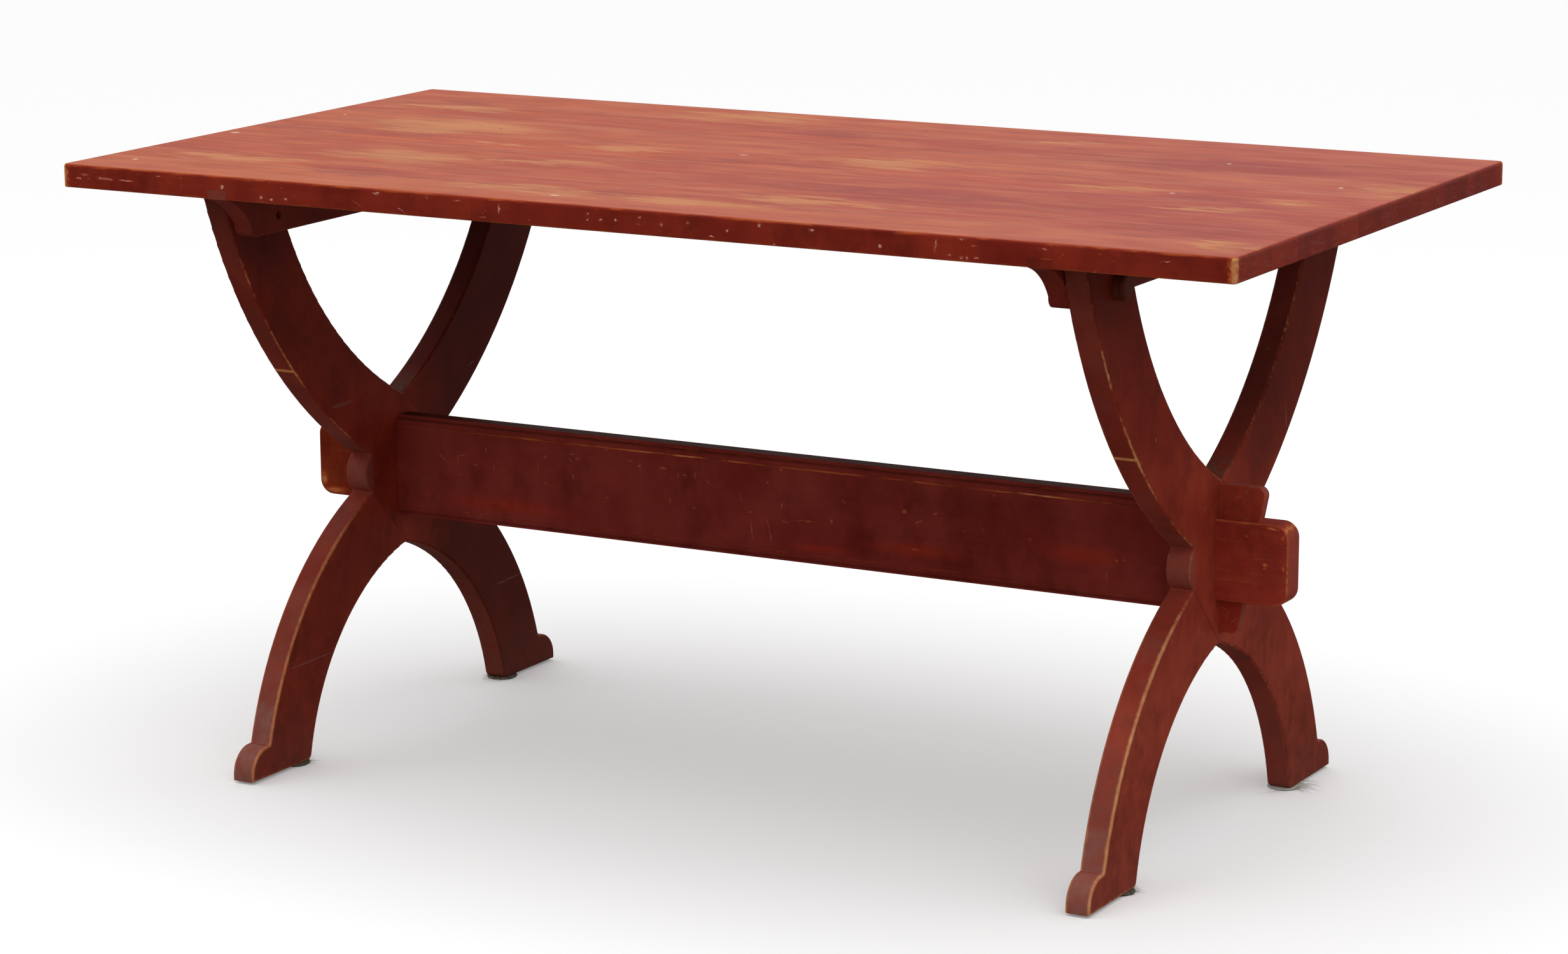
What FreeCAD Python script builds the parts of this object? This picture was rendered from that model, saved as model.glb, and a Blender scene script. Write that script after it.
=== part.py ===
"""Sawbuck table: a plank top on two crossed-leg trestles that a keyed stretcher ties together.

Millimetres. X runs along the table, Y across it (front is -Y), Z up.
The origin is on the floor, under the middle of the top.
"""
import FreeCAD
import Part
import math
import os

# ---- overall sizes -------------------------------------------------------------------------
TABLE_HEIGHT = 745.0
TOP_LENGTH = 1495.0
TOP_WIDTH = 785.0
TOP_THICKNESS = 28.0
TOP_ARRIS = 3.5            # rounding along the upper edge of the top
TOP_LOWER_ARRIS = 2.0      # rounding along its lower edge
TOP_CORNER = 5.0           # rounding of its four upright corners
BOARD_SHARES = [93, 70, 170, 112, 111, 111, 118]   # relative board widths, front to back

# ---- trestles ------------------------------------------------------------------------------
LEG_THICKNESS = 30.0
END_OVERHANG = 179.5       # from the end of the top to the outer face of a trestle
HEAD_SETBACK = 28.0        # from the side of the top to the outer corner of a leg's head
HEAD_WIDTH = 107.5         # leg width where it meets the top
HEAD_SPARE = 12.0          # length of blank sawn off each head
WAIST_HEIGHT = 332.5       # height of the middle of the crossing
WAIST_HALF_WIDTH = 74.0    # half the trestle's width in the notches beside the bead
BEAD_HEIGHT = 47.5
BEAD_BULGE = 13.5
FORK_RISE = 89.0           # from the middle of the crossing up to the fork of the upper legs
ARCH_DROP = 101.0          # from the middle of the crossing down to the crown of the arch
TOE_SETBACK = 51.0         # from the side of the top to the tip of the toe
FOOT_LENGTH = 122.0
TOE_HEIGHT = 38.5
TOE_RADIUS = 32.0
TOE_LEDGE = 5.0            # flat beside the notch, before the toe rounds over
HEEL_RADIUS = 8.0
UPPER_OUTER_BOW = 42.0     # how far each curved edge bows out from its chord
UPPER_INNER_BOW = 40.0
LOWER_OUTER_BOW = 39.0
LOWER_INNER_BOW = 46.5
LEG_ARRIS = 3.0
NOOK_RADIUS = 1.5          # rounding in the inner corners of a trestle's outline

# ---- stretcher and its keys ----------------------------------------------------------------
STRETCHER_HEIGHT = 127.0
STRETCHER_THICKNESS = 34.0
MOULDING_HEIGHT = 12.0
MOULDING_DEPTH = 6.7
TENON_HEIGHT = 94.0
TENON_REACH = 88.0         # how far a tenon stands out of its trestle
TENON_CORNER = 18.0
TENON_ARRIS = 2.5
KEY_THICKNESS = 13.0
KEY_WIDTH_AT_TENON_TOP = 49.5
KEY_TAPER = 0.194          # loss of width for each millimetre down
KEY_ABOVE_TENON = 39.0
KEY_BELOW_TENON = 39.0
KEY_TOP_CORNER = 10.0
KEY_FOOT_CORNER = 9.0
KEY_ARRIS = 1.8
KEY_SLOT_RELIEF = 4.0      # how far the key's slot runs back inside the trestle

# ---- battens and pegs ----------------------------------------------------------------------
BATTEN_THICKNESS = 25.0
BATTEN_DEPTH = 51.0        # below the top
BATTEN_COVE_RUN = 49.0     # length of the hollow cut under each end
BATTEN_COVE_DROP = 38.0
BATTEN_COVE_BOW = 6.0
BATTEN_NOSE = 9.0          # rounding below the hollow
BATTEN_ARRIS = 1.5
DOVETAIL_HEIGHT = 11.0
DOVETAIL_FLARE = 2.0       # each side
PEG_DIAMETER = 10.0
PEG_DROP = 31.0            # from the top's underside to a peg's centre
PEG_FROM_INNER_EDGE = 43.0
PEG_HEAD_DIAMETER = 30.0
PEG_HEAD_HEIGHT = 13.0
PEG_HEAD_RIM = 4.0
PEG_TIP_GAP = 8.0          # the peg stops this far short of the batten's inner face

# ---- felt pads -----------------------------------------------------------------------------
PAD_THICKNESS = 3.0
PAD_DIAMETER = 40.0
PAD_FROM_HEEL = 16.5

# ---- clearances ----------------------------------------------------------------------------
SLOT_CLEARANCE = 0.2       # each side, tenons in their mortises and dovetails in their grooves
PEG_CLEARANCE = 0.15       # on the radius
KEY_CLEARANCE = 0.2        # each side of a key in its slot

# ---- places that follow from the sizes above -----------------------------------------------
UNDERSIDE = TABLE_HEIGHT - TOP_THICKNESS
OUTER_FACE = TOP_LENGTH / 2 - END_OVERHANG
INNER_FACE = OUTER_FACE - LEG_THICKNESS
MID_FACE = OUTER_FACE - LEG_THICKNESS / 2
HEAD_OUT = TOP_WIDTH / 2 - HEAD_SETBACK
HEAD_IN = HEAD_OUT - HEAD_WIDTH
TOE_TIP = TOP_WIDTH / 2 - TOE_SETBACK
HEEL = TOE_TIP - FOOT_LENGTH
UPPER_NOTCH = WAIST_HEIGHT + BEAD_HEIGHT / 2
LOWER_NOTCH = WAIST_HEIGHT - BEAD_HEIGHT / 2
FORK = WAIST_HEIGHT + FORK_RISE
ARCH = WAIST_HEIGHT - ARCH_DROP
SOLE = PAD_THICKNESS
TOE_TOP = SOLE + TOE_HEIGHT
TOE_NOTCH = TOE_TIP - TOE_RADIUS - TOE_LEDGE
TENON_END = OUTER_FACE + TENON_REACH
TENON_TOP = WAIST_HEIGHT + TENON_HEIGHT / 2
TENON_FOOT = WAIST_HEIGHT - TENON_HEIGHT / 2
PEG_HEIGHT = UNDERSIDE - PEG_DROP
FAR = 2 * max(TOP_LENGTH, TOP_WIDTH, TABLE_HEIGHT)   # longer than anything in the table

V = FreeCAD.Vector


def across(y, z):
    """A point on the plane x = 0, where the trestles and battens are drawn."""
    return V(0, y, z)


def along(x, z):
    """A point on the plane y = 0, where the stretcher and keys are drawn."""
    return V(x, 0, z)


def line(a, b):
    return Part.makeLine(a, b)


def bowed(a, b, bow, side):
    """Circular arc from a to b that leaves its chord by bow, towards the vector side."""
    chord = b - a
    outward = side - chord * (side.dot(chord) / chord.dot(chord))
    outward.normalize()
    return Part.Arc(a, (a + b) * 0.5 + outward * bow, b).toShape()


def quarter(a, b, centre, radius):
    """Quarter circle from a to b about centre."""
    middle = (a + b) * 0.5 - centre
    middle.normalize()
    return Part.Arc(a, centre + middle * radius, b).toShape()


def prism(edges, sweep):
    """Solid swept from the closed outline that the edges make."""
    outline = Part.Wire(Part.__sortEdges__(edges))
    return Part.Face(outline).extrude(sweep)


def polygon(points, sweep):
    """Solid swept from a straight-sided outline."""
    return Part.Face(Part.makePolygon(points + points[:1])).extrude(sweep)


def block(x0, x1, y0, y1, z0, z1):
    return Part.makeBox(x1 - x0, y1 - y0, z1 - z0, V(x0, y0, z0))


def mirrored_y(shape):
    return shape.mirror(V(0, 0, 0), V(0, 1, 0))


def mirrored_x(shape):
    return shape.mirror(V(0, 0, 0), V(1, 0, 0))


def edges_where(shape, test):
    """Edges whose two ends and middle all pass the test."""
    found = []
    for edge in shape.Edges:
        middle = edge.valueAt((edge.FirstParameter + edge.LastParameter) / 2)
        points = [vertex.Point for vertex in edge.Vertexes] + [middle]
        if all(test(p) for p in points):
            found.append(edge)
    return found


def near(a, b):
    return abs(a - b) < 0.001


# ---- the top -------------------------------------------------------------------------------
def dovetail(clearance):
    """The dovetail along the right-hand batten, grown by a clearance for its groove."""
    foot = BATTEN_THICKNESS / 2 + clearance
    crest = foot + DOVETAIL_FLARE
    centre = INNER_FACE - BATTEN_THICKNESS / 2
    rise = UNDERSIDE + DOVETAIL_HEIGHT + clearance
    front = -TOP_WIDTH / 2
    points = [
        V(centre - foot, front, UNDERSIDE),
        V(centre + foot, front, UNDERSIDE),
        V(centre + crest, front, rise),
        V(centre - crest, front, rise),
    ]
    return polygon(points, V(0, TOP_WIDTH, 0))


def top_panel():
    """The whole top with rounded edges and a dovetail groove over each trestle."""
    half_length = TOP_LENGTH / 2
    half_width = TOP_WIDTH / 2
    panel = block(-half_length, half_length, -half_width, half_width, UNDERSIDE, TABLE_HEIGHT)
    upright = edges_where(panel, lambda p: near(abs(p.x), half_length) and near(abs(p.y), half_width))
    panel = panel.makeFillet(TOP_CORNER, upright)
    panel = panel.makeFillet(TOP_ARRIS, edges_where(panel, lambda p: near(p.z, TABLE_HEIGHT)))
    panel = panel.makeFillet(TOP_LOWER_ARRIS, edges_where(panel, lambda p: near(p.z, UNDERSIDE)))
    groove = dovetail(SLOT_CLEARANCE)
    return panel.cut(groove).cut(mirrored_x(groove))


def top_boards():
    """The boards of the top, front to back, glued edge to edge."""
    panel = top_panel()
    boards = []
    front = -TOP_WIDTH / 2
    for share in BOARD_SHARES:
        back = front + TOP_WIDTH * share / sum(BOARD_SHARES)
        strip = block(-FAR, FAR, front, back, 0, FAR)
        boards.append(panel.common(strip))
        front = back
    return boards


# ---- battens -------------------------------------------------------------------------------
def batten():
    """Right-hand batten: a dovetail housed in the top over a board hollowed under each end."""
    end = TOP_WIDTH / 2
    cove_y = end - BATTEN_COVE_RUN
    cove_z = UNDERSIDE - BATTEN_COVE_DROP
    foot = UNDERSIDE - BATTEN_DEPTH
    hollow = V(0, 1, -1)
    edges = [line(across(-end, UNDERSIDE), across(end, UNDERSIDE))]
    for side in (1, -1):
        tip = across(side * end, UNDERSIDE)
        lip = across(side * cove_y, cove_z)
        nose = across(side * (cove_y - BATTEN_NOSE), foot)
        edges.append(bowed(tip, lip, BATTEN_COVE_BOW, V(0, -side, 1)))
        edges.append(bowed(lip, nose, BATTEN_NOSE / 3, V(0, side * hollow.y, hollow.z)))
    edges.append(line(across(cove_y - BATTEN_NOSE, foot), across(BATTEN_NOSE - cove_y, foot)))
    board = prism(edges, V(BATTEN_THICKNESS, 0, 0))
    board.translate(V(INNER_FACE - BATTEN_THICKNESS, 0, 0))
    lower = edges_where(board, lambda p: near(p.z, foot) and abs(p.y) < cove_y)
    board = board.makeFillet(BATTEN_ARRIS, [e for e in lower if near(e.BoundBox.XLength, 0)])
    whole = board.fuse(dovetail(0)).removeSplitter()
    for side in (1, -1):
        whole = whole.cut(peg_hole(side))
    return whole


# ---- trestles ------------------------------------------------------------------------------
def head_edge(low, head, bow):
    """Arc from low to the head of a leg and on to its tip, which is sawn off level with the top."""
    out = V(0, math.copysign(1, head.y), -1)
    circle = bowed(low, head, bow, out).Curve
    tip_z = head.z + HEAD_SPARE
    reach = math.sqrt(circle.Radius ** 2 - (tip_z - circle.Center.z) ** 2)
    tip = across(circle.Center.y + math.copysign(reach, head.y), tip_z)
    return Part.Arc(low, head, tip).toShape(), tip


def half_trestle_edges(side):
    """Half the outline of a trestle, from its fork over head, waist and foot to the arch's crown."""
    upper_notch = across(side * WAIST_HALF_WIDTH, UPPER_NOTCH)
    lower_notch = across(side * WAIST_HALF_WIDTH, LOWER_NOTCH)
    inner_edge, tip_in = head_edge(across(0, FORK), across(side * HEAD_IN, UNDERSIDE), UPPER_INNER_BOW)
    outer_edge, tip_out = head_edge(upper_notch, across(side * HEAD_OUT, UNDERSIDE), UPPER_OUTER_BOW)
    toe_notch = across(side * TOE_NOTCH, TOE_TOP)
    toe_crest = across(side * (TOE_TIP - TOE_RADIUS), TOE_TOP)
    toe_centre = across(side * (TOE_TIP - TOE_RADIUS), TOE_TOP - TOE_RADIUS)
    toe_front = across(side * TOE_TIP, TOE_TOP - TOE_RADIUS)
    toe_foot = across(side * TOE_TIP, SOLE)
    heel = across(side * HEEL, SOLE)
    crown = across(0, ARCH)
    up_and_out = V(0, side, 1)
    return [
        inner_edge,
        line(tip_in, tip_out),
        outer_edge,
        bowed(upper_notch, lower_notch, BEAD_BULGE, V(0, side, 0)),
        bowed(lower_notch, toe_notch, LOWER_OUTER_BOW, up_and_out),
        line(toe_notch, toe_crest),
        quarter(toe_crest, toe_front, toe_centre, TOE_RADIUS),
        line(toe_front, toe_foot),
        line(toe_foot, heel),
        bowed(heel, crown, LOWER_INNER_BOW, up_and_out),
    ]


def trestle_blank():
    """Both crossed legs of the right-hand trestle as one piece, with every arris rounded."""
    blank = prism(half_trestle_edges(1) + half_trestle_edges(-1), V(LEG_THICKNESS, 0, 0))
    blank.translate(V(INNER_FACE, 0, 0))
    heels = edges_where(blank, lambda p: near(abs(p.y), HEEL) and near(p.z, SOLE))
    blank = blank.makeFillet(HEEL_RADIUS, heels)
    nooks = [(0, FORK), (0, ARCH), (WAIST_HALF_WIDTH, UPPER_NOTCH), (WAIST_HALF_WIDTH, LOWER_NOTCH),
             (TOE_NOTCH, TOE_TOP)]
    nook_edges = []
    for y, z in nooks:
        nook_edges += edges_where(blank, lambda p: near(abs(p.y), y) and near(p.z, z))
    blank = blank.makeFillet(NOOK_RADIUS, nook_edges)
    arrises = [e for e in blank.Edges
               if near(e.BoundBox.XLength, 0) and not near(e.CenterOfMass.z, UNDERSIDE + HEAD_SPARE)]
    rounded = blank.makeFillet(LEG_ARRIS, arrises)
    return rounded.common(block(0, FAR, -FAR, FAR, 0, UNDERSIDE))


def mortise():
    """The opening that takes the stretcher's tenon through the middle of the crossing."""
    half = STRETCHER_THICKNESS / 2 + SLOT_CLEARANCE
    return block(INNER_FACE - 1, OUTER_FACE + 1, -half, half,
                 TENON_FOOT - SLOT_CLEARANCE, TENON_TOP + SLOT_CLEARANCE)


def crossing_share():
    """Space of the leg with its head at the back: both its limbs whole, and the -X half of the crossing."""
    wide = TOP_WIDTH
    fork = across(0, FORK)
    crown = across(0, ARCH)
    upper = [fork, across(WAIST_HALF_WIDTH, UPPER_NOTCH), across(wide, UPPER_NOTCH),
             across(wide, FAR), across(0, FAR)]
    lower = [crown, across(-WAIST_HALF_WIDTH, LOWER_NOTCH), across(-wide, LOWER_NOTCH),
             across(-wide, -1), across(0, -1)]
    heart = [fork, across(WAIST_HALF_WIDTH, UPPER_NOTCH), across(wide, UPPER_NOTCH),
             across(wide, LOWER_NOTCH), across(WAIST_HALF_WIDTH, LOWER_NOTCH), crown,
             across(-WAIST_HALF_WIDTH, LOWER_NOTCH), across(-wide, LOWER_NOTCH),
             across(-wide, UPPER_NOTCH), across(-WAIST_HALF_WIDTH, UPPER_NOTCH)]
    limbs = [polygon(points, V(LEG_THICKNESS, 0, 0)) for points in (upper, lower)]
    half = polygon(heart, V(LEG_THICKNESS / 2, 0, 0))
    space = limbs[0].fuse([limbs[1], half])
    space.translate(V(INNER_FACE, 0, 0))
    return space


def right_back_leg():
    """Leg of the right-hand trestle with its head at the back and its foot at the front."""
    leg = trestle_blank().common(crossing_share()).cut(mortise())
    return leg.cut(peg_hole(1)).removeSplitter()


def legs():
    """The four legs, all of one pattern: half a turn swaps the two of a trestle."""
    back = right_back_leg()
    front = back.copy()
    front.rotate(V(MID_FACE, 0, 0), V(0, 0, 1), 180)
    found = {"right_leg_from_front_head": front, "right_leg_from_back_head": back}
    for end in ("front", "back"):
        twin = found["right_leg_from_%s_head" % end].copy()
        twin.translate(V(-2 * MID_FACE, 0, 0))
        found["left_leg_from_%s_head" % end] = twin
    return found


# ---- pegs ----------------------------------------------------------------------------------
def circle_through(a, b, bow, side):
    """Centre (y, z) and radius of the arc that bowed() draws from a to b."""
    arc = bowed(a, b, bow, side).Curve
    return arc.Center.y, arc.Center.z, arc.Radius


def peg_offset():
    """Distance of a peg from the table's middle line: a set way out from the leg's inner edge."""
    centre_y, centre_z, radius = circle_through(
        across(0, FORK), across(HEAD_IN, UNDERSIDE), UPPER_INNER_BOW, V(0, 1, -1))
    inner_edge = centre_y + math.sqrt(radius ** 2 - (PEG_HEIGHT - centre_z) ** 2)
    return inner_edge + PEG_FROM_INNER_EDGE


def peg_hole(side):
    """Bore through the right-hand trestle's leg and its batten."""
    start = V(INNER_FACE - BATTEN_THICKNESS - 1, side * peg_offset(), PEG_HEIGHT)
    length = BATTEN_THICKNESS + LEG_THICKNESS + 2
    return Part.makeCylinder(PEG_DIAMETER / 2 + PEG_CLEARANCE, length, start, V(1, 0, 0))


def peg(side):
    """Turned peg, with its shank in the leg and batten and its head on the outer face."""
    shank = PEG_DIAMETER / 2
    head = PEG_HEAD_DIAMETER / 2
    tip = INNER_FACE - BATTEN_THICKNESS + PEG_TIP_GAP
    crest = OUTER_FACE + PEG_HEAD_HEIGHT
    edges = [
        line(along(tip, 0), along(tip, shank)),
        line(along(tip, shank), along(OUTER_FACE, shank)),
        line(along(OUTER_FACE, shank), along(OUTER_FACE, head)),
        line(along(OUTER_FACE, head), along(crest - PEG_HEAD_RIM, head)),
        quarter(along(crest - PEG_HEAD_RIM, head), along(crest, head - PEG_HEAD_RIM),
                along(crest - PEG_HEAD_RIM, head - PEG_HEAD_RIM), PEG_HEAD_RIM),
        line(along(crest, head - PEG_HEAD_RIM), along(crest, 0)),
        line(along(crest, 0), along(tip, 0)),
    ]
    face = Part.Face(Part.Wire(Part.__sortEdges__(edges)))
    turned = face.revolve(V(0, 0, 0), V(1, 0, 0), 360)
    turned.translate(V(0, side * peg_offset(), PEG_HEIGHT))
    return turned


# ---- stretcher and keys --------------------------------------------------------------------
def moulding_edges(side_y, side_z):
    """Half of the stretcher's section on one side: arris, ovolo, quirk and hollow."""
    half = STRETCHER_THICKNESS / 2
    edge_z = STRETCHER_HEIGHT / 2
    step = MOULDING_DEPTH * 0.2
    quirk_z = edge_z - MOULDING_HEIGHT * 0.36

    def at(y, z):
        return across(side_y * y, WAIST_HEIGHT + side_z * z)

    face_end = at(half, edge_z - MOULDING_HEIGHT)
    ovolo_foot = at(half - step, edge_z - MOULDING_HEIGHT)
    ovolo_top = at(half - 3 * step, quirk_z)
    quirk = at(half - 4 * step, quirk_z)
    crest = at(half - MOULDING_DEPTH, edge_z)
    outward = V(0, side_y, side_z)
    return [
        line(at(half, 0), face_end),
        line(face_end, ovolo_foot),
        bowed(ovolo_foot, ovolo_top, step, outward),
        line(ovolo_top, quirk),
        bowed(quirk, crest, step / 2, outward * -1),
        line(crest, at(0, edge_z)),
    ]


def key_width(height):
    """Width of a key along X at a height above the floor."""
    return KEY_WIDTH_AT_TENON_TOP - KEY_TAPER * (TENON_TOP - height)


def key_slot():
    """Slot through the right-hand tenon: upright against the trestle, sloped where the key bears."""
    start = OUTER_FACE - KEY_SLOT_RELIEF
    half = KEY_THICKNESS / 2 + KEY_CLEARANCE
    top = TENON_TOP + 1
    foot = TENON_FOOT - 1
    points = [
        V(start, -half, foot),
        V(OUTER_FACE + key_width(foot), -half, foot),
        V(OUTER_FACE + key_width(top), -half, top),
        V(start, -half, top),
    ]
    return polygon(points, V(0, 2 * half, 0))


def stretcher():
    """Moulded board on edge, with a through tenon at each end."""
    edges = []
    for side_y in (1, -1):
        for side_z in (1, -1):
            edges += moulding_edges(side_y, side_z)
    rail = prism(edges, V(2 * INNER_FACE, 0, 0))
    rail.translate(V(-INNER_FACE, 0, 0))
    half = STRETCHER_THICKNESS / 2
    tenon = block(0, TENON_END, -half, half, TENON_FOOT, TENON_TOP)
    corners = edges_where(tenon, lambda p: near(p.x, TENON_END) and (near(p.z, TENON_TOP)
                                                                   or near(p.z, TENON_FOOT)))
    tenon = tenon.makeFillet(TENON_CORNER, corners)
    tenon = tenon.makeFillet(TENON_ARRIS, edges_where(
        tenon, lambda p: near(abs(p.y), half) and p.x > 1))
    tenon = tenon.common(block(INNER_FACE - TENON_HEIGHT, FAR, -FAR, FAR, 0, FAR))
    tenon = tenon.cut(key_slot())
    return rail.fuse([tenon, mirrored_x(tenon)]).removeSplitter()


def key():
    """Tapered key that stands in the right-hand tenon, tight against the trestle."""
    half = KEY_THICKNESS / 2
    top = TENON_TOP + KEY_ABOVE_TENON
    foot = TENON_FOOT - KEY_BELOW_TENON
    points = [
        V(OUTER_FACE, -half, foot),
        V(OUTER_FACE + key_width(foot), -half, foot),
        V(OUTER_FACE + key_width(top), -half, top),
        V(OUTER_FACE, -half, top),
    ]
    body = polygon(points, V(0, KEY_THICKNESS, 0))
    crown = edges_where(body, lambda p: near(p.z, top) and p.x > OUTER_FACE + 1)
    body = body.makeFillet(KEY_TOP_CORNER, [e for e in crown if near(e.BoundBox.XLength, 0)])
    tail = edges_where(body, lambda p: near(p.z, foot) and p.x > OUTER_FACE + 1)
    body = body.makeFillet(KEY_FOOT_CORNER, [e for e in tail if near(e.BoundBox.XLength, 0)])
    outer = [e for e in body.Edges if near(e.BoundBox.YLength, 0) and e.CenterOfMass.x > OUTER_FACE + 1]
    return body.makeFillet(KEY_ARRIS, outer)


# ---- felt pads -----------------------------------------------------------------------------
def felt_pad(side_x, side_y):
    centre = V(side_x * MID_FACE, side_y * (HEEL + PAD_FROM_HEEL), 0)
    return Part.makeCylinder(PAD_DIAMETER / 2, PAD_THICKNESS, centre)


# ---- all the pieces ------------------------------------------------------------------------
def pieces():
    found = {}
    for number, board in enumerate(top_boards(), start=1):
        found["top_board_%d" % number] = board
    found["right_batten"] = batten()
    found["left_batten"] = mirrored_x(found["right_batten"])
    found.update(legs())
    for side, end in ((-1, "front"), (1, "back")):
        found["right_%s_peg" % end] = peg(side)
        found["left_%s_peg" % end] = mirrored_x(peg(side))
        found["right_%s_felt_pad" % end] = felt_pad(1, side)
        found["left_%s_felt_pad" % end] = felt_pad(-1, side)
    found["stretcher"] = stretcher()
    found["right_tusk_key"] = key()
    found["left_tusk_key"] = mirrored_x(found["right_tusk_key"])
    return found


os.makedirs("parts", exist_ok=True)
for name, shape in pieces().items():
    solids = shape.Solids
    box = shape.BoundBox
    print("%-28s solids %d  valid %s  volume %.1f cm3  x %.1f..%.1f  y %.1f..%.1f  z %.1f..%.1f" % (
        name, len(solids), shape.isValid(), shape.Volume / 1000,
        box.XMin, box.XMax, box.YMin, box.YMax, box.ZMin, box.ZMax))
    shape.exportStep("parts/%s.step" % name)
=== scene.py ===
import bpy
import numpy as np
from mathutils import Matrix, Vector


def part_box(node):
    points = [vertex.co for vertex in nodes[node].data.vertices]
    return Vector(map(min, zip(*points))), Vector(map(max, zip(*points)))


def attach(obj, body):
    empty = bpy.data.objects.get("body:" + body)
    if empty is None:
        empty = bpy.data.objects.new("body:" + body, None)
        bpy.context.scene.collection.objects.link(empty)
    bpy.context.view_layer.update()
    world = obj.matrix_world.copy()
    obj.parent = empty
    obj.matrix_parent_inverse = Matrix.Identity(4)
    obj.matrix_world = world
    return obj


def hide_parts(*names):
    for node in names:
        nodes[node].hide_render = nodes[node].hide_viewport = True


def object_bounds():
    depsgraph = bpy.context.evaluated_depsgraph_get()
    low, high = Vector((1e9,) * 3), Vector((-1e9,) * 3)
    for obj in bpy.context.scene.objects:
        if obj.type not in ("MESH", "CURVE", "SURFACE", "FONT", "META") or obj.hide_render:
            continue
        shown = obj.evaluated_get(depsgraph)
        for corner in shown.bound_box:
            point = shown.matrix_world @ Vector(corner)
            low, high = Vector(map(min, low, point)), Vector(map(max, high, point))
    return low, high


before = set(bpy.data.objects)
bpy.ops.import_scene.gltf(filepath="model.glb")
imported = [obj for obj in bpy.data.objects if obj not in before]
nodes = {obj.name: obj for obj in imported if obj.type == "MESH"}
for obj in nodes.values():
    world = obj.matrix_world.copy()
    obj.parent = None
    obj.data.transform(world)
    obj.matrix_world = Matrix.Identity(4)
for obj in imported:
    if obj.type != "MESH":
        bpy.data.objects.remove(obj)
cad_box = [list(corner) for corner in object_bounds()]

# THE TOP. Seven pine boards glued edge to edge and planed flat, painted with one thin coat of brick-red
# linseed oil paint. Plates and sleeves have rubbed the upper face, so that it has gone from red to salmon
# and the wood shows through in long soft ochre patches. The edges keep the deep red, with knocks in it.
MM = 0.001
HALF_LENGTH, HALF_WIDTH, TOP_FACE = cad_box[1]
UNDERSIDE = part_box("top_board_1")[0].z
DEEP_RED, BRICK_RED, GRIMY_RED = "#701c13", "#9a3422", "#451a13"
# The pale mauve haze is dust, and on the legs' narrow faces it is also painted sheen.
DUST_AND_SHEEN = "#99655a"
WORN_ORANGE, PALE_WOOD = "#d2642f", "#eeb47f"


def linear(code):
    """An sRGB colour, written as #rrggbb, in the linear numbers that a shader takes."""
    parts = np.array([int(code[i : i + 2], 16) for i in (1, 3, 5)]) / 255
    parts = np.where(parts <= 0.04045, parts / 12.92, ((parts + 0.055) / 1.055) ** 2.4)
    return (*parts.tolist(), 1.0)


def add(tree, kind, *fill, **settings):
    """Adds a shader node with its settings. Each value or output in fill goes to the next input in use,
    and a colour's code to its linear numbers. Returns the first output in use."""
    node = tree.nodes.new("ShaderNode" + kind)
    for name, value in settings.items():
        setattr(node, name, value)
    for socket, value in zip([s for s in node.inputs if s.enabled], fill):
        if isinstance(value, bpy.types.NodeSocket):
            tree.links.new(value, socket)
        elif value is not None:
            socket.default_value = linear(value) if isinstance(value, str) else value
    return next(s for s in node.outputs if s.enabled)


def near(tree, distance, reach):
    """1 at no distance, falling softly to 0 at reach, both in metres."""
    return add(tree, "MapRange", distance, reach, 0.0, interpolation_type="SMOOTHSTEP")


def all_of(tree, mask, *others):
    """Where some masks meet: their product."""
    for other in others:
        mask = add(tree, "Math", mask, other, operation="MULTIPLY")
    return mask


def any_of(tree, mask, *others):
    """The strongest of some masks."""
    for other in others:
        mask = add(tree, "Math", mask, other, operation="MAXIMUM")
    return mask


def layered(tree, under, *coats):
    """A colour with thin coats over it in turn. A coat is its share of what shows, and its colour."""
    for share, over in coats:
        under = add(tree, "Mix", share, under, over, data_type="RGBA")
    return under


def cloud(tree, at, size, low, high, turn=(0, 0, 0), seed=0, detail=2):
    """Soft patches of a real size in mm along each axis, which are turned: noise, then 0 below low and 1 above
    high."""
    place = (0.73 * seed, 0.31 * seed, 0.57 * seed)
    placed = add(tree, "Mapping", at, place, turn, np.array(size) * MM, vector_type="TEXTURE")
    return add(tree, "MapRange", add(tree, "TexNoise", placed, 1.0, detail, 0.55), low, high,
               interpolation_type="SMOOTHSTEP")


def flecks(tree, at, cell, share, turn=(0, 0, 0), seed=0):
    """Small spots and strokes strewn about in clusters: one to each cell, whose sizes are in mm along turned
    axes, and as large as that share of it."""
    place = (0.41 * seed, 0.67 * seed, 0.29 * seed)
    placed = add(tree, "Mapping", at, place, turn, np.array(cell) * MM, vector_type="TEXTURE")
    spot = near(tree, add(tree, "TexVoronoi", placed, 1.0), share)
    return all_of(tree, spot, cloud(tree, at, (70, 70, 70), 0.48, 0.62, seed=seed + 0.5))


def shaken(tree, at, size, reach):
    """The same place, pushed about by up to reach by noise of that size, both in mm, so that outlines turn
    ragged."""
    push = add(tree, "TexNoise", at, 1 / (size * MM), 3.0, 0.6).node.outputs["Color"]
    push = add(tree, "VectorMath", push, (0.5, 0.5, 0.5), operation="SUBTRACT")
    return add(tree, "VectorMath", push, [3 * reach * MM] * 3, at, operation="MULTIPLY_ADD")


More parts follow.
